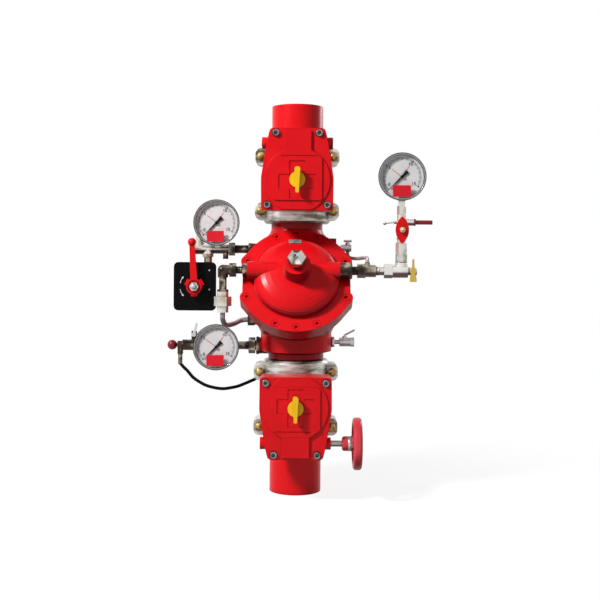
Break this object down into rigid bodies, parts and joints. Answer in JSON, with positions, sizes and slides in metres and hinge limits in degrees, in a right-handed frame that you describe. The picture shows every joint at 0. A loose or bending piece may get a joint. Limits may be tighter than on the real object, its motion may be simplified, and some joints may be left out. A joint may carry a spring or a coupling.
{
  "type": "deluge valve",
  "caption": "Straight-through deluge valve with diaphragm chamber between two geared butterfly valves, with gauges, alarm cock and trim pipework.",
  "frame": {"origin": "centre of the inlet pipe's free end face", "axes": "+Z along the flow, up the pipe; +X to the right seen from the front; -Y towards the front"},
  "size_m": [0.573, 0.3178, 0.8553],
  "materials": {
    "red_enamel": "gloss red enamel on steel and iron",
    "red_cast": "gloss red paint over a fine casting texture",
    "galvanised": "galvanised, dull silver with a warm cast",
    "bright_steel": "bright machined steel",
    "yellow_zinc": "yellow passivated zinc on steel",
    "brass_metal": "dull brass",
    "chrome_plate": "polished chrome plate",
    "yellow_plastic": "smooth yellow plastic",
    "red_plastic": "smooth red plastic",
    "black_paint": "satin black paint",
    "white_dial": "matt white paint",
    "clear_glass": "clear flat glass",
    "black_rubber": "smooth black rubber"
  },
  "bodies": {
    "station": {"inlet_pipe": "red_enamel", "outlet_pipe": "red_enamel", "coupling_front_halves": "galvanised", "coupling_rear_halves": "galvanised", "coupling_gaskets": "black_rubber", "coupling_bolts": "yellow_zinc", "coupling_nuts": "yellow_zinc", "lower_valve_body": "red_enamel", "lower_gear_housing": "red_cast", "lower_gear_cover": "red_cast", "upper_valve_body": "red_enamel", "upper_gear_housing": "red_cast", "upper_gear_cover": "red_cast", "valve_liners": "black_rubber", "gear_cover_screws": "bright_steel", "deluge_body": "red_cast", "seat_ring": "brass_metal", "diaphragm": "black_rubber", "clapper_spring": "bright_steel", "deluge_cover": "red_cast", "cover_bolts": "red_cast", "cover_plug": "chrome_plate", "gauge_cases": "chrome_plate", "gauge_dials": "white_dial", "gauge_glasses": "clear_glass", "alarm_cock_body": "brass_metal", "alarm_plate": "black_paint", "alarm_line": "galvanised", "priming_line": "galvanised", "supply_line": "galvanised", "release_line": "galvanised", "trim_tubes": "bright_steel", "small_cock_bodies": "bright_steel", "drain_hose": "black_rubber"},
    "lower_worm": {"lower_worm_shaft": "bright_steel", "handwheel": "red_enamel", "handwheel_nut": "bright_steel"},
    "lower_disc": {"lower_valve_disc": "bright_steel", "lower_valve_stem": "bright_steel", "lower_sector_gear": "bright_steel", "lower_indicator": "yellow_plastic"},
    "upper_worm": {"upper_worm_shaft": "bright_steel"},
    "upper_disc": {"upper_valve_disc": "bright_steel", "upper_valve_stem": "bright_steel", "upper_sector_gear": "bright_steel", "upper_indicator": "yellow_plastic"},
    "clapper_slider": {"clapper": "bright_steel"},
    "alarm_pointer": {"alarm_gauge_pointer": "black_paint"},
    "supply_pointer": {"supply_gauge_pointer": "black_paint"},
    "release_pointer": {"release_gauge_pointer": "black_paint"},
    "alarm_handle": {"alarm_lever": "red_enamel", "alarm_lever_nut": "bright_steel"},
    "gauge_valve_key": {"gauge_valve_handle": "red_enamel"},
    "bleed_key": {"bleed_lever": "red_plastic"},
    "petcock_key": {"petcock_handle": "yellow_plastic"},
    "test_cock_key": {"test_cock_lever": "bright_steel"},
    "supply_valve_key": {"supply_knob": "red_plastic"},
    "vent_key": {"vent_handle": "bright_steel"},
    "drain_key": {"drain_lever": "bright_steel"}
  },
  "joints": [
    {"name": "lower_handwheel_turn", "type": "hinge", "parent": "station", "child": "lower_worm", "pos_m": [0, -0.117, 0.1257], "axis": [1, 0, 0], "range_deg": [0, 2520]},
    {"name": "lower_disc_turn", "type": "hinge", "parent": "station", "child": "lower_disc", "pos_m": [0, 0, 0.2052], "axis": [0, 1, 0], "range_deg": [0, 90]},
    {"name": "upper_worm_turn", "type": "hinge", "parent": "station", "child": "upper_worm", "pos_m": [0, -0.117, 0.7616], "axis": [-1, 0, 0], "range_deg": [0, 2520]},
    {"name": "upper_disc_turn", "type": "hinge", "parent": "station", "child": "upper_disc", "pos_m": [0, 0, 0.6821], "axis": [0, 1, 0], "range_deg": [0, 90]},
    {"name": "clapper_lift", "type": "slide", "parent": "station", "child": "clapper_slider", "axis": [0, -0.866, 0.5], "range_m": [0, 0.025], "stiffness_N_per_m": 800, "springref_m": -0.02, "deforming": ["diaphragm", "clapper_spring"]},
    {"name": "alarm_pointer_sweep", "type": "hinge", "parent": "station", "child": "alarm_pointer", "pos_m": [-0.1755, -0.03, 0.5946], "axis": [0, 1, 0], "range_deg": [0, 270], "stiffness_Nm_per_rad": 0.0005, "springref_deg": -22.92},
    {"name": "supply_pointer_sweep", "type": "hinge", "parent": "station", "child": "supply_pointer", "pos_m": [-0.175, -0.026, 0.322], "axis": [0, 1, 0], "range_deg": [0, 270], "stiffness_Nm_per_rad": 0.0005, "springref_deg": -22.92},
    {"name": "release_pointer_sweep", "type": "hinge", "parent": "station", "child": "release_pointer", "pos_m": [0.22, -0.13205, 0.69098], "axis": [0, 1, 0], "range_deg": [0, 270], "stiffness_Nm_per_rad": 0.0005, "springref_deg": -22.92},
    {"name": "alarm_lever_turn", "type": "hinge", "parent": "station", "child": "alarm_handle", "pos_m": [-0.22, -0.08, 0.4555], "axis": [0, -1, 0], "range_deg": [0, 90]},
    {"name": "gauge_valve_turn", "type": "hinge", "parent": "station", "child": "gauge_valve_key", "pos_m": [0.22, -0.13205, 0.57898], "axis": [0, 1, 0], "range_deg": [0, 90]},
    {"name": "bleed_turn", "type": "hinge", "parent": "station", "child": "bleed_key", "pos_m": [0.246, -0.13205, 0.59548], "axis": [1, 0, 0], "range_deg": [0, 540]},
    {"name": "petcock_turn", "type": "hinge", "parent": "station", "child": "petcock_key", "pos_m": [0.2435, -0.13205, 0.49248], "axis": [0, 1, 0], "range_deg": [0, 90]},
    {"name": "test_cock_turn", "type": "hinge", "parent": "station", "child": "test_cock_key", "pos_m": [-0.228, -0.007, 0.346], "axis": [0, -1, 0], "range_deg": [0, 90]},
    {"name": "supply_valve_turn", "type": "hinge", "parent": "station", "child": "supply_valve_key", "pos_m": [-0.277, 0, 0.322], "axis": [1, 0, 0], "range_deg": [0, 540]},
    {"name": "vent_turn", "type": "hinge", "parent": "station", "child": "vent_key", "pos_m": [0.114, 0, 0.554], "axis": [0, 0, 1], "range_deg": [0, 90]},
    {"name": "drain_turn", "type": "hinge", "parent": "station", "child": "drain_key", "pos_m": [0.109, 0, 0.346], "axis": [0, 0, -1], "range_deg": [0, 90]}
  ],
  "couplings": [
    {"joint": "lower_disc_turn", "follows": "lower_handwheel_turn", "ratio": 0.035714},
    {"joint": "upper_disc_turn", "follows": "upper_worm_turn", "ratio": 0.035714}
  ]
}
